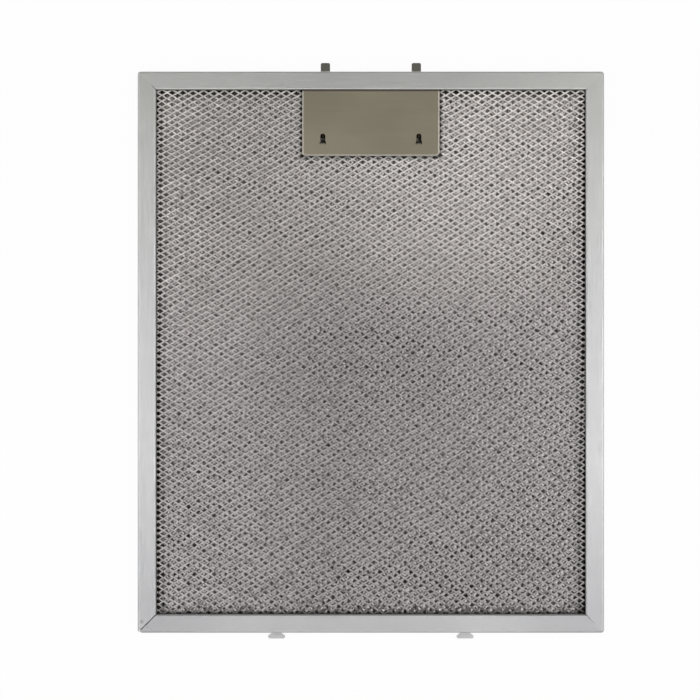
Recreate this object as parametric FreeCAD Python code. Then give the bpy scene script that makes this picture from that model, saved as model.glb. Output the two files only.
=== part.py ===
"""Cooker hood grease filter: a folded aluminium channel that clamps five layers of expanded mesh,
with a spring latch plate at one end and two lanced lugs at the other.

Millimetres. The filter lies on its back: X runs across it, Y along it towards the latch, and Z out
of the face that carries the latch. The origin is the middle of the rear face.
"""

import FreeCAD
import Part
import math
import os

# Channel frame
frame_width = 250.0
frame_length = 301.0
frame_sheet = 0.6
flange_width = 9.8
bend_radius = 0.9          # outside of the channel's bends
corner_radius = 1.6        # outside of the folded corners
rear_recess = 2.0          # rear face to mesh: the depth of the rear lip
front_recess = 3.2         # front face to mesh: the depth of the front lip
mitre_gap = 0.45
mitre_upper_left = 0.4     # how far a folded corner's mitre stands open, from its inner end
mitre_upper_right = 0.12
mitre_lower_right = 0.55
closing_step_width = 1.9   # the step where the strip's two ends meet
closing_step_height = 0.5
clinch_radius = 0.6        # punch mark that locks the closing corner
clinch_depth = 0.25
clinch_inset = 2.3         # from the frame's side
clinch_height = 6.1        # from the frame's lower end

# Mesh layers
face_mesh_depth = 1.0
inner_mesh_depth = 0.8
inner_mesh_count = 3
inner_mesh_foil = 0.25
inner_ridge_pitch = 12.0
layer_clearance = 0.4      # from a layer's edge to the channel's web
diamond_long = 5.54        # of the face mesh, across the filter
diamond_short = 3.19
strands_per_ridge = 5      # one ridge stands for so many strands
mesh_wall = 0.35           # thickness at the bottom of a diamond
floor_share = 0.72         # of a diamond, inside its ridges
gap_columns = 4            # so many half pitches lie between two open diamonds in a row
gap_rows = 2

# Latch plate
plate_sheet = 0.7
plate_width = 74.0
plate_reach = 45.3         # from the frame's upper end to the plate's lower edge
plate_corner = 2.2
plate_bend = 0.9           # outside of its bent-back edges
plate_drop = 1.2           # air between the plate and the flange that it slides under
skirt_clearance = 0.3      # from the bent-back edges to the mesh
stop_clearance = 0.3       # from the plate's shoulders to the web
tab_width = 5.0
tab_reach = 4.65           # beyond the frame's end
tab_inset = 12.6           # from the plate's side to the tab's middle
tab_corner = 0.9
tab_clearance = 0.3
notch_clearance = 0.5      # from the plate's sides to the lip that is cut away for it
latch_travel = 4.5

# Spring tongues, lanced out of the plate
tongue_inset = 11.2        # from the plate's side to the tongue's middle
tongue_width = 2.5
tongue_waist = 1.3         # where the spring's loop sits
tongue_kerf = 0.1
tongue_bend = 0.3          # inside of its bend
tongue_height = 6.3        # from the plate's lower edge to the bend
tongue_tip_clearance = 0.4  # from its tip to the layer behind
slot_height = 5.8
slot_relief_width = 3.4
slot_relief_height = 1.6

# Latch springs
wire = 0.4
coil_diameter = 2.6
coil_wall = 0.5            # of the sleeve that stands for the turns
coil_length = 30.0
coil_lift = 3.4            # from the tongue to the first turn
loop_bend = 0.5            # middle line of the wire
hook_length = 2.0
hook_clearance = 0.05
hook_hole = 1.6

# Pocket in the mesh behind the plate
pocket_inset = 1.5         # inside the bent-back edges
pocket_clearance = 0.3     # from a tongue at the end of the latch's travel
pocket_layers = 2          # inner layers that are cut away with the front mesh

# Lugs, lanced out of the frame's lower web
lug_offset = 50.8          # from the middle of the filter
lug_neck = 5.4
lug_width = 9.7
lug_tip_width = 8.2
lug_reach = 3.85
lug_neck_length = 0.9      # from the frame's end
lug_shoulder = 2.5         # from the frame's end to the widest place
lug_corner = 0.8
lug_bend = 0.3             # inside of its bend
lug_height = 3.0           # of the bend above the rear face
lug_window_height = 4.2
lug_window_clearance = 0.3

# Levels and places that follow from the sizes above
rear_mesh_top = rear_recess + face_mesh_depth
stack_top = rear_mesh_top + inner_mesh_count * inner_mesh_depth + face_mesh_depth
frame_depth = stack_top + front_recess
end = frame_length / 2
window_width = frame_width - 2 * flange_width
window_length = frame_length - 2 * flange_width
layer_width = frame_width - 2 * (frame_sheet + layer_clearance)
layer_length = frame_length - 2 * (frame_sheet + layer_clearance)
plate_front = frame_depth - frame_sheet - plate_drop
plate_back = plate_front - plate_sheet
skirt_end = stack_top + skirt_clearance
plate_low = end - plate_reach
plate_top = end - frame_sheet - stop_clearance
tab_offset = plate_width / 2 - tab_inset
tongue_offset = plate_width / 2 - tongue_inset
pocket_floor = stack_top - face_mesh_depth - pocket_layers * inner_mesh_depth
pocket_half = plate_width / 2 - plate_sheet - pocket_inset
tongue_y = plate_low + tongue_height
tongue_face = tongue_y + tongue_bend
pocket_low = tongue_y - latch_travel - pocket_clearance
tongue_tip = pocket_floor + tongue_tip_clearance
spring_z = (plate_back + pocket_floor) / 2
coil_radius = (coil_diameter - coil_wall) / 2
past = 1.0                 # how far a cutter runs past what it cuts


def vec(x, y, z):
    return FreeCAD.Vector(x, y, z)


def block(x, y, z):
    """A box between two limits on each axis."""
    return Part.makeBox(x[1] - x[0], y[1] - y[0], z[1] - z[0], vec(x[0], y[0], z[0]))


def centred(width, length, z):
    return block((-width / 2, width / 2), (-length / 2, length / 2), z)


def prism(points, move):
    """A closed outline swept along a straight line."""
    return Part.Face(Part.makePolygon(points + points[:1])).extrude(move)


def upright_edges(shape):
    return [e for e in shape.Edges if abs(e.BoundBox.ZLength - shape.BoundBox.ZLength) < 1e-6]


def edges_at(shape, z):
    flat = [e for e in shape.Edges if e.BoundBox.ZLength < 1e-6]
    return [e for e in flat if abs(e.BoundBox.ZMin - z) < 1e-6]


def round_cornered(width, length, z, corner):
    """A block with rounded upright corners."""
    body = centred(width, length, z)
    return body.makeFillet(corner, upright_edges(body))


def on_outline(edge, half_width, half_length):
    """Whether an edge lies on a rectangle round the origin, seen from above."""
    box = edge.BoundBox
    on_x = box.XLength < 1e-6 and abs(abs(box.XMin) - half_width) < 1e-6
    on_y = box.YLength < 1e-6 and abs(abs(box.YMin) - half_length) < 1e-6
    return on_x or on_y


def bent_strip(centre, inner, thickness, straight, width, start, turn):
    """A strip that leaves a sheet in a quarter bend about centre and runs on straight.

    start is the direction from the bend's centre to the sheet, turn the direction to the strip.
    """
    outer = inner + thickness
    middle = (start + turn) * math.sqrt(0.5)
    run = start * -straight
    near = centre + start * inner
    far = centre + start * outer
    inside = centre + turn * inner
    outside = centre + turn * outer
    edges = [
        Part.LineSegment(near, far).toShape(),
        Part.Arc(far, centre + middle * outer, outside).toShape(),
        Part.LineSegment(outside, outside + run).toShape(),
        Part.LineSegment(outside + run, inside + run).toShape(),
        Part.LineSegment(inside + run, inside).toShape(),
        Part.Arc(inside, centre + middle * inner, near).toShape(),
    ]
    profile = Part.Face(Part.Wire(edges))
    profile.translate(vec(-width / 2, 0, 0))
    return profile.extrude(vec(width, 0, 0))


def lips(shell, face_z, free_z):
    """Opens one face of the shell and turns the flange's edge in towards the mesh."""
    z = sorted((face_z, free_z))
    shell = shell.fuse(centred(window_width + 2 * frame_sheet, window_length + 2 * frame_sheet, z))
    shell = shell.cut(centred(window_width, window_length, (z[0] - past, z[1] + past)))
    shell = shell.removeSplitter()
    rims = [e for e in edges_at(shell, face_z) if on_outline(e, window_width / 2, window_length / 2)]
    return shell.makeFillet(bend_radius, rims)


def mitre(side_x, side_y, share):
    """A wedge that opens a corner's mitre from its inner end."""
    inner = vec(side_x * window_width / 2, side_y * window_length / 2, -past)
    outward = vec(side_x, side_y, 0) * math.sqrt(0.5)
    across = vec(-side_y, side_x, 0) * math.sqrt(0.5) * (mitre_gap / 2)
    length = math.sqrt(2) * (flange_width - frame_sheet) * share
    start = inner - outward * past
    return prism([start - across, inner + outward * length, start + across],
                 vec(0, 0, frame_depth + 2 * past))


def closing_cuts():
    """The corner where the strip's two ends meet: a slit right through, a step and a punch mark."""
    inner = vec(-window_width / 2, -window_length / 2, -past)
    outward = vec(-1, -1, 0) * math.sqrt(0.5)
    across = vec(1, -1, 0) * math.sqrt(0.5) * (mitre_gap / 2)
    start = inner - outward * past
    stop = inner + outward * (math.sqrt(2) * flange_width + past)
    slit = prism([start - across, stop - across, stop + across, start + across],
                 vec(0, 0, frame_depth + 2 * past))
    side = -frame_width / 2
    step = block((side - past, side + closing_step_width), (-end - past, -end + closing_step_height),
                 (-past, frame_depth + past))
    clinch = Part.makeCone(clinch_radius, clinch_radius + clinch_depth, clinch_depth,
                           vec(side + clinch_inset, -end + clinch_height, frame_depth - clinch_depth))
    return [slit, step, clinch]


def latch_cuts():
    """What is cut out of the upper rail for the latch: lip, tab slots and spring holes."""
    half = plate_width / 2 + notch_clearance
    lip_y = window_length / 2
    cuts = [block((-half, half), (lip_y - past, lip_y + frame_sheet + layer_clearance),
                  (stack_top - past, frame_depth - frame_sheet))]
    for side in (-1, 1):
        x = side * tab_offset
        reach = tab_width / 2 + tab_clearance
        cuts.append(block((x - reach, x + reach), (end - frame_sheet - past, end + past),
                          (plate_back - tab_clearance, plate_front + tab_clearance)))
        cuts.append(Part.makeCylinder(hook_hole / 2, frame_sheet + 2 * past,
                                      vec(hook_x(side), end - frame_sheet - past, spring_z), vec(0, 1, 0)))
    return cuts


def hook_x(side):
    """Where a spring's upper end leaves through the web."""
    return side * (tongue_offset - coil_radius)


def lug(side):
    """A T-shaped lug, bent out of the lower web."""
    strip = bent_strip(vec(0, -end - lug_bend, lug_height), lug_bend, frame_sheet,
                       lug_reach - lug_bend, lug_width, vec(0, 1, 0), vec(0, 0, 1))
    widths = [(-frame_sheet, lug_neck), (lug_neck_length, lug_neck), (lug_shoulder, lug_width),
              (lug_reach, lug_tip_width)]
    right = [vec(width / 2, -end - y, 0) for y, width in widths]
    left = [vec(-p.x, p.y, 0) for p in reversed(right)]
    outline = prism(right + left, vec(0, 0, frame_depth))
    neck = -end - lug_neck_length
    corners = [e for e in upright_edges(outline) if e.BoundBox.YMin < neck - 1e-6]
    shape = strip.common(outline.makeFillet(lug_corner, corners))
    shape.translate(vec(side * lug_offset, 0, 0))
    return shape


def lug_window(side):
    half = lug_width / 2 + lug_window_clearance
    x = side * lug_offset
    return block((x - half, x + half), (-end - past, -end + frame_sheet + layer_clearance),
                 (lug_height, lug_height + lug_window_height))


def make_frame():
    outer = round_cornered(frame_width, frame_length, (0, frame_depth), corner_radius)
    outer = outer.makeFillet(bend_radius, edges_at(outer, 0) + edges_at(outer, frame_depth))
    inner = round_cornered(frame_width - 2 * frame_sheet, frame_length - 2 * frame_sheet,
                           (frame_sheet, frame_depth - frame_sheet), corner_radius - frame_sheet)
    shell = outer.cut(inner)
    shell = lips(shell, frame_depth, stack_top)
    shell = lips(shell, 0, rear_recess)
    folded = [mitre(-1, 1, mitre_upper_left), mitre(1, 1, mitre_upper_right),
              mitre(1, -1, mitre_lower_right)]
    windows = [lug_window(side) for side in (-1, 1)]
    shell = shell.cut(folded + closing_cuts() + latch_cuts() + windows)
    return shell.fuse([lug(side) for side in (-1, 1)]).removeSplitter()


def polygon(points):
    return Part.Face(Part.makePolygon(points + points[:1]))


def band(upper, lower):
    """The faces between two loops of as many points."""
    around = range(len(upper))
    return [polygon([upper[k - 1], upper[k], lower[k], lower[k - 1]]) for k in around]


def ridged_sheet(flat_z, ridge_z):
    """A face mesh: crossing ridges on one side, flat on the other, with some diamonds open.

    Ridges cross at every second point of a grid over the window, and the points between them are
    the bottoms of the diamonds. The margin under the flanges is pressed flat.
    """
    columns = 2 * round(window_width / (diamond_long * strands_per_ridge))
    rows = 2 * round(window_length / (diamond_short * strands_per_ridge))
    pit_z = flat_z + math.copysign(mesh_wall, ridge_z - flat_z)

    def point(i, j):
        z = pit_z if (i + j) % 2 else ridge_z
        return vec(window_width * (i / columns - 0.5), window_length * (j / rows - 0.5), z)

    def edge_loop():
        lower = [(i, i % 2) for i in range(1, columns)]
        right = [(columns - j % 2, j) for j in range(2, rows)]
        upper = [(i, rows - i % 2) for i in range(columns - 2, 0, -1)]
        left = [(j % 2, j) for j in range(rows - 2, 1, -1)]
        return [point(i, j) for i, j in lower + right + upper + left]

    def is_gap(i, j):
        row = j % gap_rows
        return row == gap_rows // 2 and (i + j // gap_rows * (gap_columns // 2)) % gap_columns == 0

    faces = []
    holes = []
    for i in range(1, columns):
        for j in range(1, rows):
            if (i + j) % 2 == 0:
                continue
            rim = [point(i - 1, j), point(i, j - 1), point(i + 1, j), point(i, j + 1)]
            foot = point(i, j)
            floor = [foot + vec(p.x - foot.x, p.y - foot.y, 0) * floor_share for p in rim]
            faces += band(rim, floor)
            if is_gap(i, j):
                hole = [vec(p.x, p.y, flat_z) for p in floor]
                faces += band(floor, hole)
                holes.append(hole)
            else:
                faces.append(polygon(floor))

    signs = ((-1, -1), (1, -1), (1, 1), (-1, 1))
    flat = [vec(x * layer_width / 2, y * layer_length / 2, flat_z) for x, y in signs]
    ridge = [vec(p.x, p.y, ridge_z) for p in flat]
    faces += band(ridge, flat)
    loops = [[Part.makePolygon(p + p[:1]) for p in [flat] + holes],
             [Part.makePolygon(p + p[:1]) for p in [ridge, edge_loop()]]]
    faces += [Part.makeFace(wires, "Part::FaceMakerBullseye") for wires in loops]
    shell = Part.makeShell(faces)
    shell.sewShape()
    solid = Part.makeSolid(shell)
    if solid.Volume < 0:
        solid.reverse()
    return solid


def pocket():
    """The space behind the latch plate, open at the layers' upper edge."""
    return block((-pocket_half, pocket_half), (pocket_low, end), (pocket_floor, frame_depth))


def folded_layer(number):
    """An inner layer: foil in shallow folds, which run along the filter and across it in turn."""
    top = stack_top - face_mesh_depth - (number - 1) * inner_mesh_depth
    along = number % 2 == 1
    span, run = (layer_width, layer_length) if along else (layer_length, layer_width)
    folds = 2 * round(span / inner_ridge_pitch)
    low = top - inner_mesh_depth
    crest = [vec(span * (k / folds - 0.5), -run / 2, low + inner_mesh_foil if k % 2 else top)
             for k in range(folds + 1)]
    under = [p - vec(0, 0, inner_mesh_foil) for p in reversed(crest)]
    layer = prism(crest + under, vec(0, run, 0))
    if not along:
        layer.rotate(vec(0, 0, 0), vec(0, 0, 1), 90)
    return layer.cut(pocket()) if number <= pocket_layers else layer


def tongue(side):
    """A spring tongue bent back behind the plate, with a waist for the spring's loop."""
    strip = bent_strip(vec(0, tongue_y, plate_back - tongue_bend), tongue_bend, plate_sheet,
                       plate_back - tongue_bend - tongue_tip, tongue_width, vec(0, 0, 1), vec(0, 1, 0))
    notch = (tongue_width - tongue_waist) / 2
    cuts = [Part.makeCylinder(notch, plate_sheet + 2 * past,
                              vec(x * tongue_width / 2, tongue_face - past, spring_z), vec(0, 1, 0))
            for x in (-1, 1)]
    shape = strip.cut(cuts)
    shape.translate(vec(side * tongue_offset, 0, 0))
    return shape


def tongue_slot(side):
    """The slot that a tongue leaves: a round-ended stem and a wider relief at the bend."""
    half = tongue_width / 2 + tongue_kerf
    x = side * tongue_offset
    z = (plate_back - past, plate_front + past)
    stem_top = tongue_y + slot_height - half
    stem = block((x - half, x + half), (tongue_y, stem_top), z)
    round_end = Part.makeCylinder(half, z[1] - z[0], vec(x, stem_top, z[0]))
    relief = block((x - slot_relief_width / 2, x + slot_relief_width / 2),
                   (tongue_y, tongue_y + slot_relief_height), z)
    return stem.fuse([round_end, relief])


def catch_tab(side):
    x = side * tab_offset
    tip = end + tab_reach
    half = tab_width / 2
    tab = block((x - half, x + half), (plate_top - tab_reach, tip), (plate_back, plate_front))
    corners = [e for e in upright_edges(tab) if abs(e.BoundBox.YMin - tip) < 1e-6]
    return tab.makeFillet(tab_corner, corners)


def make_latch_plate():
    half = plate_width / 2
    body = block((-half, half), (plate_low, plate_top), (skirt_end, plate_front))
    low = [e for e in upright_edges(body) if abs(e.BoundBox.YMin - plate_low) < 1e-6]
    body = body.makeFillet(plate_corner, low)
    rim = [e for e in edges_at(body, plate_front) if e.BoundBox.YMin < plate_top - 1e-6]
    body = body.makeFillet(plate_bend, rim)
    inner_half = half - plate_sheet
    hollow = block((-inner_half, inner_half), (plate_low + plate_sheet, plate_top + past),
                   (skirt_end - past, plate_back))
    inner_low = [e for e in upright_edges(hollow) if abs(e.BoundBox.YMin - plate_low - plate_sheet) < 1e-6]
    hollow = hollow.makeFillet(plate_corner - plate_sheet, inner_low)
    plate = body.cut(hollow).fuse([catch_tab(side) for side in (-1, 1)])
    plate = plate.cut([tongue_slot(side) for side in (-1, 1)])
    return plate.fuse([tongue(side) for side in (-1, 1)]).removeSplitter()


def wire_section(place, direction):
    """The wire's section, drawn with six sides, square to a direction that lies level."""
    up = vec(0, 0, 1)
    across = direction.cross(up)
    turns = [k * math.pi / 3 for k in range(6)]
    return polygon([place + (up * math.cos(a) + across * math.sin(a)) * (wire / 2) for a in turns])


def wire_along(points):
    """Wire along level straight runs that meet at right angles, with a round bend at each."""
    pieces = []
    start = points[0]
    for before, corner, after in zip(points, points[1:], points[2:]):
        ahead = (corner - before).normalize()
        aside = (after - corner).normalize()
        entry = corner - ahead * loop_bend
        pieces.append(wire_section(start, ahead).extrude(entry - start))
        bend = wire_section(entry, ahead).revolve(entry + aside * loop_bend, ahead.cross(aside), 90)
        pieces.append(bend)
        start = corner + aside * loop_bend
    run = points[-1] - start
    pieces.append(wire_section(start, vec(run.x, run.y, run.z).normalize()).extrude(run))
    return pieces


def make_spring(side):
    """A close-wound tension spring: its turns as one sleeve, a loop below and a hook above."""
    x = side * tongue_offset
    low = tongue_face + coil_lift
    high = low + coil_length
    along = vec(0, 1, 0)
    coil = Part.makeCylinder(coil_diameter / 2, coil_length, vec(x, low, spring_z), along)
    bore = Part.makeCylinder(coil_diameter / 2 - coil_wall, coil_length, vec(x, low, spring_z), along)
    loop_y = tongue_face - hook_clearance - wire / 2
    legs = [x - coil_radius, x + coil_radius]
    loop = wire_along([vec(legs[0], low + wire, spring_z), vec(legs[0], loop_y, spring_z),
                       vec(legs[1], loop_y, spring_z), vec(legs[1], low + wire, spring_z)])
    hook_y = end + hook_clearance + wire / 2
    leg = hook_x(side)
    hook = wire_along([vec(leg, high - wire, spring_z), vec(leg, hook_y, spring_z),
                       vec(leg + side * hook_length, hook_y, spring_z)])
    return coil.cut(bore).fuse(loop + hook).removeSplitter()


def main():
    nodes = {
        "frame": make_frame(),
        "front_mesh": ridged_sheet(stack_top - face_mesh_depth, stack_top).cut(pocket()),
        "rear_mesh": ridged_sheet(rear_mesh_top, rear_recess),
        "latch_plate": make_latch_plate(),
        "latch_spring_left": make_spring(-1),
        "latch_spring_right": make_spring(1),
    }
    for number in range(1, inner_mesh_count + 1):
        nodes[f"inner_mesh_{number}"] = folded_layer(number)
    os.makedirs("parts", exist_ok=True)
    for name, shape in nodes.items():
        solid = shape.Solids[0] if len(shape.Solids) == 1 else shape
        solid.exportStep(f"parts/{name}.step")
        print(name, "solids", len(shape.Solids), "valid", shape.isValid(), "volume", round(shape.Volume, 1))


main()
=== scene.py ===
# %% [markdown]
# # A cooker hood grease filter
# The filter is a channel of folded aluminium that clamps five layers of expanded foil. A steel latch
# plate slides under the channel's upper flange, and two tension springs behind it hold it up, so that
# its catch tabs stand out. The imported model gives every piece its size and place. This lesson gives the
# frame and the plate their finish, weaves the five layers and winds the two springs, for which the
# solids are only stand-ins.

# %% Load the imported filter
import math

import bmesh
import bpy
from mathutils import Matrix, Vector


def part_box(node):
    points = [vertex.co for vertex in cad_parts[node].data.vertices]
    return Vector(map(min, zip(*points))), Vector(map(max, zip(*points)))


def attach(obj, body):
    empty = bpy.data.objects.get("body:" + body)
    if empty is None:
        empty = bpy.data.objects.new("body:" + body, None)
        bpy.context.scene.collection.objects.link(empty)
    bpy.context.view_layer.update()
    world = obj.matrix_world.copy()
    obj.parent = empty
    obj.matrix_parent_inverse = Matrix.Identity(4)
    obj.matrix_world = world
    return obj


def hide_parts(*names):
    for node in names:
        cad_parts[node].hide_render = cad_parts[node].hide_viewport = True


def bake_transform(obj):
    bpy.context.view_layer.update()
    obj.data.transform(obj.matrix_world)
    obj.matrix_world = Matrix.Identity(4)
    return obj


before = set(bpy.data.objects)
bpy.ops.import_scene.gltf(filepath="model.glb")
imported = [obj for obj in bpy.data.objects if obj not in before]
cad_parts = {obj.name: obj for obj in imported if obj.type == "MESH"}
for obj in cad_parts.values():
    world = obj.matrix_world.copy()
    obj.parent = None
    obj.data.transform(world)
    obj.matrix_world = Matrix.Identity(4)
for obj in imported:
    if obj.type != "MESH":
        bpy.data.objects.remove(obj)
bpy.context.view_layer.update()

MM = 0.001
LAYER_INSET = 1.0 * MM
frame_low, frame_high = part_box("frame")
half_width = (frame_high.x - frame_low.x) / 2
half_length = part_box("rear_mesh")[1].y + LAYER_INSET
front_face = frame_high.z
half_depth = front_face / 2
print("nodes:", ", ".join(sorted(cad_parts)))
print("frame half sizes and front face in mm:", half_width / MM, half_length / MM, front_face / MM)

# %% [markdown]
# ## The camera
# The filter lies on its back and the photograph looks straight down on it from about a metre. The lens
# follows from that height and from the width of the view, 700 pixels of 0.5358 mm each. The filter
# stands a little right of the picture's middle, so the camera hangs over a point left of the filter's
# own middle.

# %% Camera straight above the filter
PIXELS_ACROSS = 700
PIXEL = 0.5358 * MM
VIEW_WIDTH = PIXELS_ACROSS * PIXEL
VIEW_MIDDLE = (-11.2 * MM, 1.1 * MM)
CAMERA_HEIGHT = 1.0
SENSOR = 36.0

camera_data = bpy.data.cameras.new("camera")
camera_data.sensor_width = SENSOR
camera_data.lens = SENSOR * (CAMERA_HEIGHT - front_face) / VIEW_WIDTH
camera = bpy.data.objects.new("camera", camera_data)
camera.location = (*VIEW_MIDDLE, CAMERA_HEIGHT)
bpy.context.scene.collection.objects.link(camera)
bpy.context.scene.camera = camera
bpy.context.scene.view_settings.view_transform = "Standard"
print("lens in mm:", round(camera_data.lens, 1))

# %% [markdown]
# ## Writing shaders as sums
# A finish is a network of nodes, and most of it is arithmetic: distances, masks and blends. Placing a
# Math node for each step by hand is slow and hard to read. This small class wraps one socket, so that a
# sum of sockets written in Python adds the Math nodes by itself. Its method `node` adds any other node,
# and the methods after the operators are short names for the nodes that the finishes use most.

# %% A socket that can be added and multiplied
NOISE_MIDDLE = 0.5


class Signal:
    """One output socket of a node tree."""

    def __init__(self, tree, socket):
        self.tree = tree
        self.socket = socket

    def node(self, kind, settings=None, sockets=None, output=0):
        """Adds a node: its settings first, then the values or links of its sockets."""
        made = self.tree.nodes.new(kind)
        for name, value in (settings or {}).items():
            setattr(made, name, value)
        for name, value in (sockets or {}).items():
            if isinstance(value, Signal):
                self.tree.links.new(value.socket, made.inputs[name])
            else:
                made.inputs[name].default_value = value
        return Signal(self.tree, made.outputs[output])

    def maths(self, operation, *values):
        """Adds a Math node on these values."""
        return self.node("ShaderNodeMath", {"operation": operation}, dict(enumerate(values)))

    def __add__(self, other):
        return self.maths("ADD", self, other)

    __radd__ = __add__

    def __sub__(self, other):
        return self.maths("SUBTRACT", self, other)

    def __rsub__(self, other):
        return self.maths("SUBTRACT", other, self)

    def __mul__(self, other):
        return self.maths("MULTIPLY", self, other)

    __rmul__ = __mul__

    def __abs__(self):
        return self.maths("ABSOLUTE", self)

    def __gt__(self, other):
        return self.maths("GREATER_THAN", self, other)

    def smooth(self, low, high):
        """0 below low, 1 above high, and a soft step between them."""
        return self.node("ShaderNodeMapRange", {"interpolation_type": "SMOOTHSTEP"},
                         {"Value": self, "From Min": low, "From Max": high})

    def blend(self, first, second, way="MIX"):
        """A colour between two, with this signal as the share of the second."""
        return self.node("ShaderNodeMix", {"data_type": "RGBA", "blend_type": way},
                         {0: self, 6: first, 7: second}, 2)

    def tint(self, colour, by):
        """The colour, multiplied by another where this signal is 1."""
        return self.blend(colour, by, "MULTIPLY")

    def distance(self, point):
        """How far this place is from a point."""
        return self.node("ShaderNodeVectorMath", {"operation": "DISTANCE"}, {0: self, 1: point}, 1)

    def noise(self, scale, stretch=(1.0, 1.0, 1.0)):
        """Smooth noise from 0 to 1 on this place, stretched along its axes."""
        stretched = self.node("ShaderNodeVectorMath", {"operation": "MULTIPLY"}, {0: self, 1: stretch})
        return stretched.node("ShaderNodeTexNoise", {}, {"Vector": stretched, "Scale": scale})

    def swing(self, share):
        """A noise about its middle, so that it adds nothing on average."""
        return (self - NOISE_MIDDLE) * share

    def bump(self, distance, strength=1.0):
        """The surface's direction, with this signal as a height."""
        return self.node("ShaderNodeBump", {},
                         {"Strength": strength, "Distance": distance, "Height": self})


print("shader maths ready")

# %% [markdown]
# ## Finishes
# A new material in Blender comes with one Principled shader. What is the same all over a surface is set
# on the shader's own sockets, and what changes is fed in. Every pattern is placed by the piece's own
# Object coordinates, in metres, so it stays put when the latch moves.

# %% Helpers for finishes
def new_finish(name, **constants):
    """A material: the finish, its shader, and the piece's own coordinates in metres."""
    finish = bpy.data.materials.new(name)
    finish.use_nodes = True
    tree = finish.node_tree
    shader = tree.nodes["Principled BSDF"]
    for socket, value in constants.items():
        shader.inputs[socket.replace("_", " ")].default_value = value
    coordinates = tree.nodes.new("ShaderNodeTexCoord")
    return finish, shader, Signal(tree, coordinates.outputs["Object"])


def feed(shader, **links):
    """Links signals to the shader's sockets."""
    for socket, signal in links.items():
        signal.tree.links.new(signal.socket, shader.inputs[socket.replace("_", " ")])


def axes(place):
    """The three coordinates of a place."""
    return [place.node("ShaderNodeSeparateXYZ", {}, {0: place}, k) for k in range(3)]


def dress(node, finish):
    """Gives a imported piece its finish."""
    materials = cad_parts[node].data.materials
    materials.clear()
    materials.append(finish)
    print("finished:", finish.name)


print("helpers for finishes ready")

# %% [markdown]
# ## The floor
# The floor is a large pale plane. For the camera it is mostly plain white, and a share of it stays an
# ordinary matt surface, so the filter keeps its soft contact shadow. Under the filter itself the floor
# gets no such white, or it would shine up through the mesh.

# %% Floor
FLOOR_SIZE = 6.0
FLOOR_WHITE = 0.96
FLOOR_GREY = (0.9, 0.9, 0.9, 1)
FLOOR_ROUGHNESS = 0.9
WHITE = (1, 1, 1, 1)
RAYS = ("Camera", "Glossy", "Transmission")

bpy.ops.object.select_all(action="DESELECT")
bpy.ops.mesh.primitive_plane_add(size=FLOOR_SIZE)
floor = bpy.context.object
floor.name = "floor"
floor_finish, floor_shader, place = new_finish("pale_floor", Base_Color=FLOOR_GREY,
                                               Roughness=FLOOR_ROUGHNESS)
x, y = axes(place)[:2]
tree = floor_finish.node_tree
light_path = place.node("ShaderNodeLightPath").socket.node
rays = [Signal(tree, light_path.outputs[f"Is {kind} Ray"]) for kind in RAYS]
outside = place.maths("MAXIMUM", abs(x) > half_width, abs(y) > half_length)
share = place.maths("MINIMUM", rays[0] + rays[1] + rays[2], 1.0) * outside * FLOOR_WHITE
matt = Signal(tree, floor_shader.outputs[0])
white = place.node("ShaderNodeEmission", {}, {"Color": WHITE, "Strength": 1.0})
surface = place.node("ShaderNodeMixShader", {}, {0: share, 1: matt, 2: white})
tree.links.new(surface.socket, tree.nodes["Material Output"].inputs["Surface"])
floor.data.materials.append(floor_finish)
print("floor of", FLOOR_SIZE, "m")

# %% [markdown]
# ## The light
# The light is a pale surround with three soft lamps. Bare metal mirrors what is around it, so the lamps
# decide the look more than the colours do. The two small ones close by light the side rails, most about
# the middle of their length. The larger one stands beyond the filter's lower end and lights the strands
# of the face mesh, which lean that way.

# %% Surround and lamps
SURROUND = (0.26, 0.26, 0.262, 1)
LAMPS = {
    "left": {"place": (-0.62, -0.12, 0.68), "size": 0.70, "watts": 3.3},
    "right": {"place": (0.62, -0.08, 0.68), "size": 0.70, "watts": 3.6},
    "near": {"place": (0.10, -1.20, 1.30), "size": 1.20, "watts": 3.5},
}

world = bpy.data.worlds.new("surround")
world.use_nodes = True
world.node_tree.nodes["Background"].inputs["Color"].default_value = SURROUND
bpy.context.scene.world = world
for name, lamp in LAMPS.items():
    data = bpy.data.lights.new(name, "AREA")
    data.size = lamp["size"]
    data.energy = lamp["watts"]
    made = bpy.data.objects.new(name, data)
    made.location = lamp["place"]
    made.rotation_euler = (-Vector(lamp["place"])).to_track_quat("-Z", "Y").to_euler()
    bpy.context.scene.collection.objects.link(made)
print("lamps:", ", ".join(LAMPS))

# %% [markdown]
# ## The frame's rolling lines
# The channel is rolled from one long strip, so its rolling lines run along every rail and change
# direction at the mitres. A side rail is where the distance to the frame's side is less than to its
# end. Two stretched noises give the lines, one for the side rails and one for the end rails, and
# that mask picks between them. A third noise, slow and even, makes the sheet a little cloudy.

# %% Lines along each rail
ROLLING_SCALE = 4500.0
ALONG_X = (0.01, 1.0, 1.0)
ALONG_Y = (1.0, 0.01, 1.0)
HAZE_SCALE = 18.0

frame_finish, frame_shader, place = new_finish("frame_aluminium_satin", Metallic=1.0)
x, y, z = axes(place)
side_rail = (abs(x) - half_width) > (abs(y) - half_length)
lines_up = place.noise(ROLLING_SCALE, ALONG_Y)
lines_across = place.noise(ROLLING_SCALE, ALONG_X)
lines = side_rail * lines_up + (1 - side_rail) * lines_across
haze = place.noise(HAZE_SCALE)
print("rolling lines at a scale of", ROLLING_SCALE)
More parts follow.
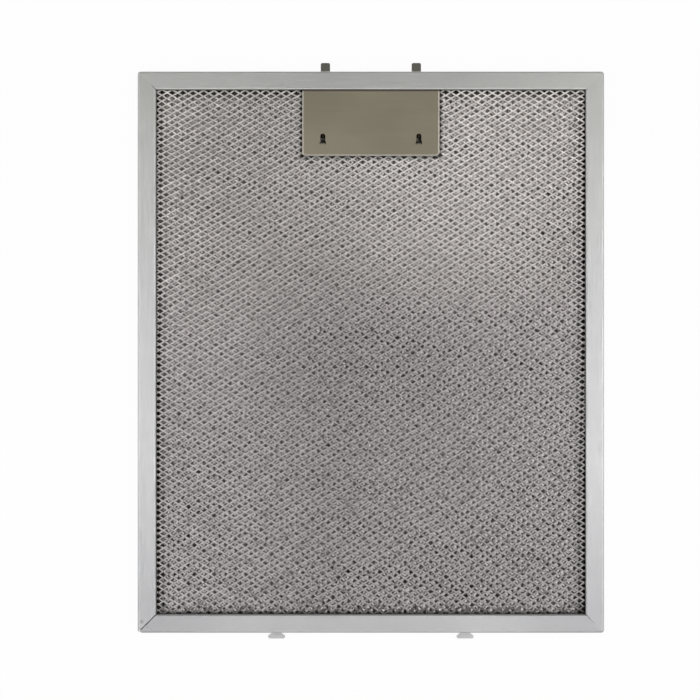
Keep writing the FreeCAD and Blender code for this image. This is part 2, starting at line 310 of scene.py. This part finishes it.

# %% [markdown]
# ## The frame's bends
# The bends are matt, and they are painted grey, as shade that damps their highlights. Only the upper edge
# gets a painted highlight, a pale line. The lip that goes down to the mesh is painted darker still, as
# shade. A bend could be painted on a map, but its place is known: it is a distance from the frame's
# sides, and a height. The closing corner is locked with a punch mark, a small dull spot.

# %% Masks for the bends and the punch mark
FLANGE = 9.8 * MM
BEND_WIDTH = 0.9 * MM
INNER_FROM = FLANGE - 0.55 * BEND_WIDTH
INNER_TO = FLANGE - 0.1 * BEND_WIDTH
PUNCH_MARK = (-half_width + 2.3 * MM, -half_length + 6.1 * MM, front_face)
PUNCH_RADIUS = 0.9 * MM

from_side = place.maths("MINIMUM", half_width - abs(x), half_length - abs(y))
rise = abs(z - half_depth)
inner_bend = from_side.smooth(INNER_FROM, INNER_TO)
lip_wall = inner_bend * (1 - rise.smooth(half_depth - 2 * BEND_WIDTH, half_depth - BEND_WIDTH))
rounded = rise.smooth(half_depth - BEND_WIDTH, half_depth - BEND_WIDTH / 2)
edge_bend = (1 - from_side.smooth(0, BEND_WIDTH)) * rounded
top_bend = edge_bend * y.smooth(half_length - BEND_WIDTH, half_length - BEND_WIDTH / 2)
outer_bend = edge_bend * (1 - y.smooth(half_length - 2 * BEND_WIDTH, half_length - BEND_WIDTH))
bends = place.maths("MAXIMUM", inner_bend, outer_bend)
punched = 1 - place.distance(PUNCH_MARK).smooth(0, PUNCH_RADIUS)
dull = place.maths("MAXIMUM", bends, punched)
print("bends", BEND_WIDTH / MM, "mm wide, flange", FLANGE / MM, "mm wide")

# %% [markdown]
# ## The frame's aluminium
# Clean aluminium is a pale neutral grey. Towards the latch it is a shade warmer. The corners at the
# other end are painted darker, as shade, and the upper end rail is painted paler, as light. The warmth
# and the corners' shade are tints that multiply the colour before them, so the lines and the clouds
# still show through.

# %% Satin colour
SATIN_DARK = (0.612, 0.611, 0.615, 1)
SATIN_PALE = (0.735, 0.735, 0.743, 1)
SATIN_TONE = 0.5
ROLLING_TONE = 0.25
HAZE_TONE = 0.5
TOP_RAIL_LIGHT = 0.3
WARM_TINT = (1.0, 1.004, 0.955, 1)
CORNER_SHADE_TINT = (0.77, 0.77, 0.775, 1)
CORNER_SHADE_FROM = 50 * MM

far_end = y.smooth(0, half_length)
top_rail = (1 - side_rail) * far_end
# Painted light: the upper end rail's tone is raised, so that rail is paler.
tone = lines.swing(ROLLING_TONE) + haze.swing(HAZE_TONE) + top_rail * TOP_RAIL_LIGHT + SATIN_TONE
warm_satin = far_end.tint(tone.blend(SATIN_DARK, SATIN_PALE), WARM_TINT)
# Painted shade: the corners at the lower end are darkened by a tint.
corner_shade = abs(x).smooth(CORNER_SHADE_FROM, half_width) * (1 - y.smooth(-half_length, -CORNER_SHADE_FROM))
corner_shaded_satin = corner_shade.tint(warm_satin, CORNER_SHADE_TINT)
print("satin from", SATIN_DARK[:3], "to", SATIN_PALE[:3])

# %% [markdown]
# ## The frame's finish
# The bends go over the satin one after the other: the painted highlight on the upper edge, the bends
# painted grey as shade together with the dull punch mark, and the lip painted dark as shade. The bends
# are rougher than the flat sheet too. The rolling lines are far too fine to model, so a bump only tilts
# the light on them.

# %% Bends over the satin
# A painted highlight for the upper edge, and painted shade for the other bends and for the lip.
TOP_BEND_HIGHLIGHT = (0.95, 0.95, 0.93, 1)
BEND_SHADE = (0.50, 0.50, 0.495, 1)
LIP_WALL_SHADE = (0.38, 0.38, 0.375, 1)
SATIN_ROUGHNESS = 0.34
ROLLING_ROUGHNESS = 0.10
HAZE_ROUGHNESS = 0.06
BEND_ROUGHNESS = 0.30
ROLLING_HEIGHT = 0.08 * MM

# Painted highlight on the upper edge, painted shade on the bends; the lip's painted shade goes on below.
bent = dull.blend(top_bend.blend(corner_shaded_satin, TOP_BEND_HIGHLIGHT), BEND_SHADE)
flat_roughness = SATIN_ROUGHNESS + lines * ROLLING_ROUGHNESS + haze * HAZE_ROUGHNESS
feed(frame_shader,
     Base_Color=lip_wall.blend(bent, LIP_WALL_SHADE),
     Roughness=flat_roughness + dull * BEND_ROUGHNESS,
     Normal=lines.bump(ROLLING_HEIGHT))
dress("frame", frame_finish)

# %% [markdown]
# ## The latch plate's edges
# The plate's edges are bent back, and their rounded rim gets a painted highlight, a pale line. Where the
# plate slides under the flange, the flange's shadow is painted on it as a dark line. The two tongues
# behind the plate are painted almost black, as shade, and the catch tabs are painted darker, as shade.
# All four are found by their place on the plate.

# %% Masks for the plate's rim, grease, tongues and tabs
SHEET = 0.7 * MM
RIM = 1.1 * MM
FLANGE_SHADOW_WIDTH = 1.2 * MM
TAB_FADE = 1.0 * MM

plate_low, plate_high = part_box("latch_plate")
plate_back = plate_high.z - SHEET
flange_edge = half_length - FLANGE
plate_finish, plate_shader, place = new_finish("latch_steel_satin", Metallic=0.9)
x, y, z = axes(place)
# Masks for painted light: the rim's highlight, the tongues' shade, the flange's shadow and the tabs' shade.
from_edge = place.maths("MINIMUM", plate_high.x - abs(x), y - plate_low.y)
rim = 1 - from_edge.smooth(RIM / 4, RIM)
behind = from_edge.smooth(2 * RIM, 3 * RIM) * (1 - z.smooth(plate_back - SHEET / 2, plate_back))
above_flange_shadow = y.smooth(flange_edge + FLANGE_SHADOW_WIDTH / 2, flange_edge + FLANGE_SHADOW_WIDTH)
flange_shadow = y.smooth(flange_edge - FLANGE_SHADOW_WIDTH, flange_edge) * (1 - above_flange_shadow)
tab = y.smooth(half_length, half_length + TAB_FADE)
print("plate from", plate_low.y / MM, "to", plate_high.y / MM, "mm")

# %% [markdown]
# ## The latch plate's steel
# The plate is warm grey pressed steel with a dull sheen. Pressing leaves faint lines along the plate
# and a cloudy tone. The lower left is painted paler, as light. The same recipe as for the frame gives
# them, with other numbers.

# %% Warm satin steel
STEEL_DARK = (0.35, 0.313, 0.232, 1)
STEEL_PALE = (0.445, 0.40, 0.30, 1)
ALONG_PLATE = (0.03, 1.0, 1.0)
PRESS_SCALE = 1200.0
STAIN_SCALE = 35.0
STEEL_TONE = 0.47
PRESS_TONE = 0.3
STAIN_TONE = 0.6
LOWER_LEFT_LIGHT = 0.6

lines = place.noise(PRESS_SCALE, ALONG_PLATE)
stain = place.noise(STAIN_SCALE)
# Painted light: the plate is made paler towards its lower left.
painted_lower_left_light = (1 - x.smooth(plate_low.x, plate_high.x / 3)) * (1 - y.smooth(plate_low.y, flange_edge))
tone = lines.swing(PRESS_TONE) + stain.swing(STAIN_TONE) + painted_lower_left_light * LOWER_LEFT_LIGHT + STEEL_TONE
steel = tone.blend(STEEL_DARK, STEEL_PALE)
print("steel from", STEEL_DARK[:3], "to", STEEL_PALE[:3])

# %% [markdown]
# ## The latch plate's finish
# The rim's painted highlight, the flange's painted shadow, and the painted shade of the tabs and the
# tongues go over the steel in this order, because each lies on top of the one before where they meet. A
# weak bump gives the pressing lines.

# %% Edges over the steel
# Colours of the rim's painted highlight, the flange's painted shadow, and the tabs' and tongues' painted
# shade.
RIM_HIGHLIGHT = (0.62, 0.59, 0.54, 1)
FLANGE_SHADOW_COLOUR = (0.12, 0.11, 0.09, 1)
TAB_SHADE = (0.20, 0.197, 0.175, 1)
TONGUE_SHADE = (0.02, 0.016, 0.01, 1)
STEEL_ROUGHNESS = 0.36
PRESS_ROUGHNESS = 0.08
STAIN_ROUGHNESS = 0.06
PRESS_HEIGHT = 0.04 * MM
PRESS_STRENGTH = 0.08

# The painted highlight and the painted shadow, then the painted shade of the tabs and the tongues.
flange_shadowed = flange_shadow.blend(rim.blend(steel, RIM_HIGHLIGHT), FLANGE_SHADOW_COLOUR)
feed(plate_shader,
     Base_Color=behind.blend(tab.blend(flange_shadowed, TAB_SHADE), TONGUE_SHADE),
     Roughness=STEEL_ROUGHNESS + lines * PRESS_ROUGHNESS + stain * STAIN_ROUGHNESS,
     Normal=lines.bump(PRESS_HEIGHT, PRESS_STRENGTH))
dress("latch_plate", plate_finish)

# %% [markdown]
# ## The foil's painted light and shade over the filter
# The light doesn't fall evenly on so large a mesh. It is painted brightest to the upper right, a little
# brighter on the left, and dullest in the middle. By the lip and the latch plate the inner layers are
# painted almost black, as shade. Only the foot of the mesh is painted bright almost up to the lip. Lamps
# alone can't give this without spoiling the rails, so it is part of the finish.

# %% Bright and dark areas
BRIGHT_SPOT = (40 * MM, 114 * MM, half_depth)
SPOT_FROM = 10 * MM
SPOT_TO = 140 * MM
SPOT_TONE = 0.46
DULL_MIDDLE = (4 * MM, -5 * MM, half_depth)
DULL_TO = 105 * MM
DULL_TONE = 0.10
LEFT_FROM = -110 * MM
LEFT_TO = -10 * MM
LEFT_TONE = 0.22
FOOT = 3 * MM
FOOT_TONE = 0.8
FOOT_SHADE = 0.25
PLATE_SHADE = 2.5 * MM


def area_tone(place, x, to_foot, spot):
    """The painted light and shade that the place on the filter adds to the foil's tone."""
    left = 1 - x.smooth(LEFT_FROM, LEFT_TO)
    middle = 1 - place.distance(DULL_MIDDLE).smooth(0, DULL_TO)
    foot = 1 - to_foot.smooth(0, FOOT)
    return spot * SPOT_TONE + left * LEFT_TONE - middle * DULL_TONE + foot * FOOT_TONE


def clear_of_painted_shade(x, y, to_foot, lip_shade, by_plate):
    """0 where shade is painted by the lip and, for the layers that end there, by the latch plate, and 1 in
    the open.
    """
    to_lip = x.maths("MINIMUM", half_width - FLANGE - abs(x), half_length - FLANGE - y)
    clear = to_lip.smooth(0, lip_shade) * to_foot.smooth(0, lip_shade * FOOT_SHADE)
    if by_plate:
        to_plate = x.maths("MAXIMUM", abs(x) - plate_high.x, plate_low.y - y)
        clear = clear * to_plate.smooth(0, PLATE_SHADE)
    return clear


print("bright spot at", BRIGHT_SPOT[0] / MM, BRIGHT_SPOT[1] / MM, "mm")

# %% [markdown]
# ## The foil's aluminium
# The foil is painted bright on its highest edges and duller below, as highlight and shade. A fine noise
# at the scale of one strand makes neighbours differ, a coarse one makes whole areas cloudy, and a small
# bump crinkles the foil. The two rear layers face the other way, so that their high edges are those on
# the rear side.

# %% From dull foil to bright foil
FRONT = 1
REAR = -1
STRAND_SCALE = 650.0
CRINKLE_SCALE = 900.0
CLOUD_SCALE = 14.0
FOIL_TONE = 0.29
EDGE_TONE = 0.34
SPOT_EDGE_TONE = 0.4
STRAND_TONE = 0.8
CLOUD_TONE = 0.2
STRAND_ROUGHNESS = 0.10
CRINKLE_HEIGHT = 0.15 * MM
FOIL_WARM = (1.0, 1.0, 0.965, 1)
FOIL_WARM_FROM = -20 * MM


def foil_finish(name, node, side, painted_shade, dull, bright, lip_shade, roughness):
    """Foil from dull to bright: painted highlights on its high edges and in some areas, and painted shade
    by the lip and the plate.
    """
    finish, shader, place = new_finish(name, Metallic=1.0)
    x, y, z = axes(place)
    low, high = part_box(node)
    strand = place.noise(STRAND_SCALE)
    crinkle = place.noise(CRINKLE_SCALE)
    cloud = place.noise(CLOUD_SCALE)
    spot = 1 - place.distance(BRIGHT_SPOT).smooth(SPOT_FROM, SPOT_TO)
    to_foot = y + (half_length - FLANGE)
    # Painted highlight on the high edges and painted shade below them.
    edge = (z - (low.z + high.z) / 2) * (side / (high.z - low.z))
    strand_tone = strand.swing(STRAND_TONE) + cloud.swing(CLOUD_TONE)
    edge_tone = edge * (spot * SPOT_EDGE_TONE + EDGE_TONE)
    tone = edge_tone + strand_tone + FOIL_TONE + area_tone(place, x, to_foot, spot)
    # Painted shade by the lip and, for the front layers, by the latch plate.
    clear = clear_of_painted_shade(x, y, to_foot, lip_shade, by_plate=side == FRONT)
    shaded = clear.blend(painted_shade, tone.blend(dull, bright))
    feed(shader,
         Base_Color=y.smooth(FOIL_WARM_FROM, half_length).tint(shaded, FOIL_WARM),
         Roughness=roughness + strand * STRAND_ROUGHNESS,
         Normal=crinkle.bump(CRINKLE_HEIGHT))
    print("finished:", finish.name)
    return finish


print("foil strands at a scale of", STRAND_SCALE)

# %% [markdown]
# ## Five foils
# The outer two layers are bright and smooth. The inner ones are matt, and the middle one is painted the
# dullest, as shade, because the least light gets there. Each layer has a finish of its own, because its
# high edges lie at its own level.

# %% One finish for each layer
FACE_FOIL = dict(painted_shade=(0.30, 0.29, 0.28, 1), dull=(0.238, 0.222, 0.218, 1),
                 bright=(0.826, 0.785, 0.775, 1), lip_shade=0.8 * MM, roughness=0.28)
INNER_FOIL = dict(painted_shade=(0.02, 0.018, 0.015, 1), dull=(0.393, 0.368, 0.362, 1),
                  bright=(0.64, 0.607, 0.597, 1), lip_shade=7.0 * MM, roughness=0.46)
# Painted shade: the middle layer's bright colour is darker than that of the other inner layers.
CORE_FOIL = dict(INNER_FOIL, bright=(0.496, 0.47, 0.462, 1))

front_foil = foil_finish("front_foil", "front_mesh", FRONT, **FACE_FOIL)
rear_foil = foil_finish("rear_foil", "rear_mesh", REAR, **FACE_FOIL)
inner_foil = foil_finish("inner_foil", "inner_mesh_1", FRONT, **INNER_FOIL)
deep_foil = foil_finish("deep_foil", "inner_mesh_3", REAR, **INNER_FOIL)
core_foil = foil_finish("core_foil", "inner_mesh_2", FRONT, **CORE_FOIL)

# %% [markdown]
# ## The springs' wire
# Drawn spring wire is smooth. Behind the plate it lies in shade, so it is painted dark brown, as shade.
# Its drawing lines hardly show at this size, so one noise in its colour and its roughness is enough.

# %% Drawn spring wire
# Painted shade: both wire colours are dark brown for the shade behind the plate.
SHADED_WIRE_DARK = (0.05, 0.04, 0.026, 1)
SHADED_WIRE_PALE = (0.11, 0.092, 0.065, 1)
WIRE_SCALE = 900.0
WIRE_ROUGHNESS = 0.28
DRAWN_ROUGHNESS = 0.15

wire_finish, wire_shader, place = new_finish("spring_wire", Metallic=1.0)
drawn = place.noise(WIRE_SCALE)
feed(wire_shader,
     Base_Color=drawn.blend(SHADED_WIRE_DARK, SHADED_WIRE_PALE),
     Roughness=WIRE_ROUGHNESS + drawn * DRAWN_ROUGHNESS)
print("finished:", wire_finish.name)

# %% [markdown]
# ## Small helpers for modelling by operator
# Operators act on what is selected. These helpers start from a clear selection, pick parts of a mesh by
# their place, and add a modifier and apply it at once. The last one smooths a new piece, gives it its
# finish and hides the imported piece it stands in for.

# %% Helpers for modelling
SHARP = math.radians(50)


def nothing_selected():
    """Leaves edit mode and clears the selection."""
    if bpy.context.object and bpy.context.object.mode != "OBJECT":
        bpy.ops.object.mode_set(mode="OBJECT")
    bpy.ops.object.select_all(action="DESELECT")


def pick(kind, wanted):
    """Selects the corners, edges or faces of the mesh in edit mode whose middle passes a test."""
    bpy.ops.mesh.select_mode(type=kind)
    bpy.ops.mesh.select_all(action="DESELECT")
    mesh = bpy.context.edit_object.data
    shape = bmesh.from_edit_mesh(mesh)
    if kind == "VERT":
        for corner in shape.verts:
            corner.select_set(wanted(corner.co))
    else:
        for item in (shape.edges if kind == "EDGE" else shape.faces):
            middle = sum((corner.co for corner in item.verts), Vector()) / len(item.verts)
            item.select_set(wanted(middle))
    shape.select_flush_mode()
    bmesh.update_edit_mesh(mesh)


def modify(piece, kind, **settings):
    """Adds a modifier with its settings and applies it."""
    added = piece.modifiers.new(kind.lower(), kind)
    for name, value in settings.items():
        setattr(added, name, value)
    bpy.ops.object.modifier_apply(modifier=added.name)


def hand_over(piece, finish, node):
    """Smooths and finishes a piece, and hides the packed one that it stands in for."""
    bpy.ops.object.shade_smooth_by_angle(angle=SHARP)
    piece.data.materials.append(finish)
    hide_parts(node)
    piece.data.calc_loop_triangles()
    print(piece.name, "triangles", len(piece.data.loop_triangles))


print("helpers for modelling ready")

# %% [markdown]
# ## One diamond of expanded foil
# Expanded foil starts as a plain sheet. A tool slits it in rows and pulls it open, so that every slit
# becomes a diamond, and the strands between stand at an angle to the sheet. It could be a woven texture
# on a plane, but then no layer would show through the one above. Here one knuckle, where strands meet,
# is a circle of four corners with one corner lifted and the opposite one lowered. Two strands are
# extruded from its upper sides, up to where the next knuckles start.

# %% A knuckle and its strands
MERGE = 0.01 * MM


def knuckle_with_strands(long_way, short_way, knuckle, lift):
    """One tilted diamond and the two strands that leave its upper sides."""
    nothing_selected()
    bpy.ops.mesh.primitive_circle_add(vertices=4, radius=1, fill_type="NGON")
    piece = bpy.context.object
    bpy.ops.object.mode_set(mode="EDIT")
    bpy.ops.transform.resize(value=(knuckle[0] / 2, knuckle[1] / 2, 1))
    for side in (-1, 1):
        pick("VERT", lambda co: co.y * side > knuckle[1] / 4)
        bpy.ops.transform.translate(value=(0, 0, side * lift))
    along, up = (long_way - knuckle[0]) / 2, (short_way - knuckle[1]) / 2
    for side in (-1, 1):
        start = Vector((side * knuckle[0] / 4, knuckle[1] / 4, lift / 2))
        pick("EDGE", lambda middle: (middle - start).length < MERGE)
        bpy.ops.mesh.extrude_region_move(TRANSFORM_OT_translate={"value": (side * along, up, -lift)})
    bpy.ops.object.mode_set(mode="OBJECT")
    return piece


print("corners closer than", MERGE / MM, "mm become one")

# %% [markdown]
# ## A sheet of diamonds
# Three arrays repeat the diamond: along a row, half a step aside for the row between, and up the sheet.
# The corners that meet are merged. Real foil is never quite even, so every corner is moved a little at
# random, with a seed that keeps it the same each time, and a slow noise pulls the rows out of line, as
# handling does.

# %% Repeat, turn and pull the sheet
SPARE = 6
UNEVEN = 0.14 * MM


def sheet_of_diamonds(wide, tall, long_way, short_way, knuckle, lift, turn, seed):
    """A slightly uneven sheet round the middle of the filter, somewhat larger than its layer."""
    columns = math.ceil(wide / long_way) + SPARE
    rows = math.ceil(tall / short_way) + SPARE
    between = (long_way / 2, short_way / 2, 0)
    piece = knuckle_with_strands(long_way, short_way, knuckle, lift)
    for count, step in ((columns, (long_way, 0, 0)), (2, between), (rows, (0, short_way, 0))):
        modify(piece, "ARRAY", count=count, use_relative_offset=False, use_constant_offset=True,
               constant_offset_displace=step)
    bpy.ops.object.mode_set(mode="EDIT")
    bpy.ops.mesh.select_all(action="SELECT")
    bpy.ops.transform.translate(value=(-columns * long_way / 2, -rows * short_way / 2, 0))
    bpy.ops.mesh.remove_doubles(threshold=MERGE)
    bpy.ops.transform.rotate(value=math.radians(turn), orient_axis="Z", center_override=(0, 0, 0))
    bpy.ops.transform.vertex_random(offset=UNEVEN, uniform=1.0, seed=seed)
    bpy.ops.object.mode_set(mode="OBJECT")
    return piece


def pull(piece, name, axis, amount, patch):
    """Pulls the sheet along an axis by a slow noise, of which a patch of the given size is one swing."""
    texture = bpy.data.textures.new(name, "CLOUDS")
    texture.noise_scale = patch
    texture.noise_depth = 0
    modify(piece, "DISPLACE", texture=texture, direction=axis, strength=amount, mid_level=NOISE_MIDDLE,
           texture_coords="LOCAL")


print("corners lie up to", UNEVEN / MM, "mm out of place")

# %% [markdown]
# ## Trimming the sheet
# Each layer is cut to its size, and the front three are also cut away behind the latch plate, where the
# springs need the space. Bisect cuts along a plane. It can drop all that lies beyond, which trims the
# outside. For the pocket it only cuts the faces near by, and those inside are then deleted.

# %% Cut the outside and the pocket
NEAR = 5 * MM


def trim(low, high):
    """Cuts the sheet in edit mode to a rectangle."""
    for corner, sign in ((low, -1), (high, 1)):
        for normal in ((sign, 0, 0), (0, sign, 0)):
            bpy.ops.mesh.select_all(action="SELECT")
            bpy.ops.mesh.bisect(plane_co=corner, plane_no=normal, clear_outer=True)


def cut_pocket(half, low_y):
    """Takes the sheet away behind the latch plate."""
    across, along = (1, 0, 0), (0, 1, 0)
    for place, normal in (((-half, 0, 0), across), ((half, 0, 0), across), ((0, low_y, 0), along)):
        pick("FACE", lambda middle: abs(middle.x) < half + NEAR and middle.y > low_y - NEAR)
        bpy.ops.mesh.bisect(plane_co=place, plane_no=normal)
    pick("FACE", lambda middle: abs(middle.x) < half and middle.y > low_y)
    bpy.ops.mesh.delete(type="FACE")


print("pocket cuts reach", NEAR / MM, "mm past the pocket")

# %% [markdown]
# ## One layer of expanded foil
# Solidify gives the trimmed sheet its thickness. The layer then has to fill exactly the depth that its
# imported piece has, or it would cut into its neighbours. So it is stretched in height and moved to its
# level by what its corners measure.

# %% Make a layer
DIAGONAL = 45.0


def fit_depth(piece, low, high):
    """Stretches a layer to its depth and sets it at its level."""
    levels = [corner.co.z for corner in piece.data.vertices]
    bpy.ops.object.mode_set(mode="EDIT")
    bpy.ops.mesh.select_all(action="SELECT")
    bpy.ops.transform.resize(value=(1, 1, (high.z - low.z) / (max(levels) - min(levels))))
    bpy.ops.object.mode_set(mode="OBJECT")
    levels = [corner.co.z for corner in piece.data.vertices]
    bpy.ops.object.mode_set(mode="EDIT")
    bpy.ops.transform.translate(value=(0, 0, low.z - min(levels)))
    bpy.ops.object.mode_set(mode="OBJECT")


def expanded_layer(node, finish, turn, seed, drift, thickness, pocket=None, **diamond):
    """A layer of expanded foil in the place of a packed one."""
    low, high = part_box(node)
    size = high - low
    wide, tall = (size.y, size.x) if abs(turn) > DIAGONAL else (size.x, size.y)
    piece = sheet_of_diamonds(wide, tall, turn=turn, seed=seed, **diamond)
    piece.name = piece.data.name = node + "_foil"
    for axis, amount, patch in drift:
        pull(piece, node + axis, axis, amount, patch)
    bpy.ops.object.mode_set(mode="EDIT")
    trim(low, high)
    if pocket:
        cut_pocket(*pocket)
    bpy.ops.object.mode_set(mode="OBJECT")
    modify(piece, "SOLIDIFY", thickness=thickness, offset=0)
    fit_depth(piece, low, high)
    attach(piece, "filter")
    hand_over(piece, finish, node)
    return piece


print("layers can be made")

# %% [markdown]
# ## The five layers
# Neighbouring layers lie crosswise, so that their diamonds never line up and grease has to find a way
# round the strands. None lies quite square, and each is pulled its own way, so that the pattern where
# they overlap changes over the filter.

# %% Weave the layers
POCKET_INSET = 2.2 * MM
POCKET_RISE = 1.5 * MM
pocket = (plate_high.x - POCKET_INSET, plate_low.y + POCKET_RISE)
FACE = dict(long_way=5.54 * MM, short_way=3.19 * MM, knuckle=(1.7 * MM, 0.75 * MM), lift=0.33 * MM,
            thickness=0.3 * MM)
CROSS = dict(long_way=5.25 * MM, short_way=3.41 * MM, knuckle=(1.75 * MM, 0.8 * MM), lift=0.26 * MM,
             thickness=0.25 * MM)
THIRD = dict(long_way=5.54 * MM, short_way=3.80 * MM, knuckle=(2.0 * MM, 0.9 * MM), lift=0.26 * MM,
             thickness=0.25 * MM)
LEVEL = 0.0
CROSSWISE = -90.0
layers = [
    expanded_layer("front_mesh", front_foil, **FACE, turn=LEVEL + 0.6, seed=1, pocket=pocket,
                   drift=(("X", 2.0 * MM, 115 * MM), ("Y", 2.5 * MM, 125 * MM), ("Y", 0.9 * MM, 38 * MM))),
    expanded_layer("inner_mesh_1", inner_foil, **CROSS, turn=CROSSWISE - 0.8, seed=2, pocket=pocket,
                   drift=(("X", -2.5 * MM, 120 * MM), ("Y", 2.0 * MM, 110 * MM), ("X", 0.9 * MM, 34 * MM))),
    expanded_layer("inner_mesh_2", core_foil, **THIRD, turn=LEVEL - 0.9, seed=3, pocket=pocket,
                   drift=(("X", 2.5 * MM, 130 * MM), ("Y", -2.0 * MM, 105 * MM), ("Y", 0.9 * MM, 31 * MM))),
    expanded_layer("inner_mesh_3", deep_foil, **CROSS, turn=CROSSWISE + 0.7, seed=4,
                   drift=(("X", 2.0 * MM, 112 * MM), ("Y", -2.5 * MM, 124 * MM), ("X", 0.9 * MM, 36 * MM))),
    expanded_layer("rear_mesh", rear_foil, **FACE, turn=LEVEL - 0.5, seed=5,
                   drift=(("X", -2.0 * MM, 118 * MM), ("Y", 2.5 * MM, 108 * MM), ("Y", 0.9 * MM, 40 * MM))),
]
print("layers:", len(layers))

# %% [markdown]
# ## Bent wire
# A spring ends in bent wire: a loop round the plate's tongue, and a hook through the frame's end. A
# curve with a round section would do, but its bends are hard to set exactly. Here a ring of wire is
# extruded along each straight run and spun round each bend.

# %% Wire along straight runs
WIRE = 0.4 * MM
BEND = 0.5 * MM
BEND_STEPS = 6
QUARTER_TURN = math.pi / 2
RING_SIDES = 8


def wire_along(points):
    """Wire along straight level runs, with a round bend at each corner, in the mesh in edit mode."""
    ahead = (points[1] - points[0]).normalized()
    start = points[0]
    bpy.ops.mesh.select_all(action="DESELECT")
    bpy.ops.mesh.primitive_circle_add(vertices=RING_SIDES, radius=WIRE / 2, fill_type="NGON",
                                      location=start,
                                      rotation=ahead.to_track_quat("Z", "Y").to_euler())
    for corner, after in zip(points[1:], points[2:]):
        aside = (after - corner).normalized()
        entry = corner - ahead * BEND
        bpy.ops.mesh.extrude_region_move(TRANSFORM_OT_translate={"value": entry - start})
        bpy.ops.mesh.spin(steps=BEND_STEPS, angle=QUARTER_TURN, center=entry + aside * BEND,
                          axis=ahead.cross(aside))
        start = corner + aside * BEND
        ahead = aside
    bpy.ops.mesh.extrude_region_move(TRANSFORM_OT_translate={"value": points[-1] - start})


print("wire", WIRE / MM, "mm thick")

# %% [markdown]
# ## The latch springs
# Each spring is close-wound wire. A ring of wire is screwed up along the spring's axis for the turns,
# and its ends are closed. The loop and the hook reach a little into the turns.

# %% Wind the springs
TURN_PITCH = 0.41 * MM
TURN_STEPS = 12
COIL_LIFT = 3.85 * MM
COIL_LENGTH = 30.0 * MM
HOOK = 2 * MM
WIRE_MERGE = 0.001 * MM


def turns(middle, radius, coil_low):
    """The close-wound turns, left in edit mode with both ends closed."""
    nothing_selected()
    bpy.ops.mesh.primitive_circle_add(vertices=RING_SIDES, radius=WIRE / 2,
                                      location=(middle.x, coil_low, middle.z))
    piece = bpy.context.object
    bpy.ops.object.mode_set(mode="EDIT")
    bpy.ops.transform.translate(value=(radius, 0, 0))
    bpy.ops.object.mode_set(mode="OBJECT")
    modify(piece, "SCREW", axis="Y", steps=TURN_STEPS, render_steps=TURN_STEPS, screw_offset=TURN_PITCH,
           iterations=int((COIL_LENGTH - WIRE) / TURN_PITCH), use_normal_calculate=True)
    bpy.ops.object.transform_apply(location=True, rotation=True, scale=True)
    bpy.ops.object.mode_set(mode="EDIT")
    bpy.ops.mesh.select_all(action="SELECT")
    bpy.ops.mesh.fill_holes(sides=0)
    return piece


def latch_spring(side, node):
    """A spring in the place of a packed one, with its loop on the latch and its hook on the filter."""
    low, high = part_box(node)
    middle = (low + high) / 2
    radius = (high.x - low.x - WIRE) / 2
    coil_low = low.y + COIL_LIFT
    coil_high = coil_low + COIL_LENGTH
    piece = turns(middle, radius, coil_low)
    piece.name = piece.data.name = node + "_coil"
    left, right, leg = middle.x - radius, middle.x + radius, middle.x - side * radius
    loop_y, hook_y = low.y + WIRE / 2, high.y - WIRE / 2
    loop = ((left, coil_low + WIRE), (left, loop_y), (right, loop_y), (right, coil_low + WIRE))
    hook = ((leg, coil_high - WIRE), (leg, hook_y), (leg + side * HOOK, hook_y))
    for run in (loop, hook):
        wire_along([Vector((x, y, middle.z)) for x, y in run])
    bpy.ops.mesh.select_all(action="SELECT")
    bpy.ops.mesh.remove_doubles(threshold=WIRE_MERGE)
    bpy.ops.mesh.normals_make_consistent(inside=False)
    bpy.ops.object.mode_set(mode="OBJECT")
    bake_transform(piece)
    hand_over(piece, wire_finish, node)
    return piece


SIDES = ((-1, "latch_spring_left"), (1, "latch_spring_right"))
springs = [latch_spring(side, node) for side, node in SIDES]
print("springs:", len(springs))
